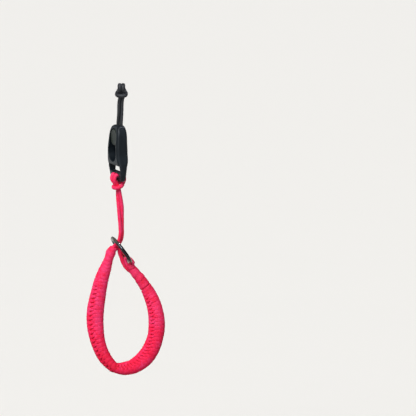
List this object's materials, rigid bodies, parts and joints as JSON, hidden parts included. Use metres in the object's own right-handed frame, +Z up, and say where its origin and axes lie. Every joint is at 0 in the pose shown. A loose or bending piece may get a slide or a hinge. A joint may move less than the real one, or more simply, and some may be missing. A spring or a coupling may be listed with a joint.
{
  "type": "rope camera wrist strap",
  "caption": "Hand-wrapped rope wrist loop that slides shut through a steel ring, hung by a doubled rope from a flat plastic quick-release link and a thin cord hitch.",
  "frame": {"origin": "the axis of the camera's lug wire, where the black cord's hitch holds it; the strap hangs below", "axes": "+Z up along the hanging strap, +X to the right across the open wrist loop, +Y away from the front"},
  "size_m": [0.0681, 0.0282, 0.2568],
  "materials": {
    "rope": "matte braided red rope",
    "anchor_cord": "smooth black braid",
    "link_plastic": "fine matte moulding",
    "disc_plastic": "satin moulding",
    "ring_metal": "polished dark plating"
  },
  "bodies": {
    "root": {"anchor_cord": "anchor_cord", "link_housing": "link_plastic", "anchor_disc": "disc_plastic", "leader_rope": "rope", "slide_ring": "ring_metal", "eye_front_rope": "rope", "eye_back_rope": "rope", "left_end_wrap": "rope", "left_band": "rope", "right_band": "rope", "right_end_wrap": "rope", "throat_wrap": "rope"}
  },
  "joints": []
}
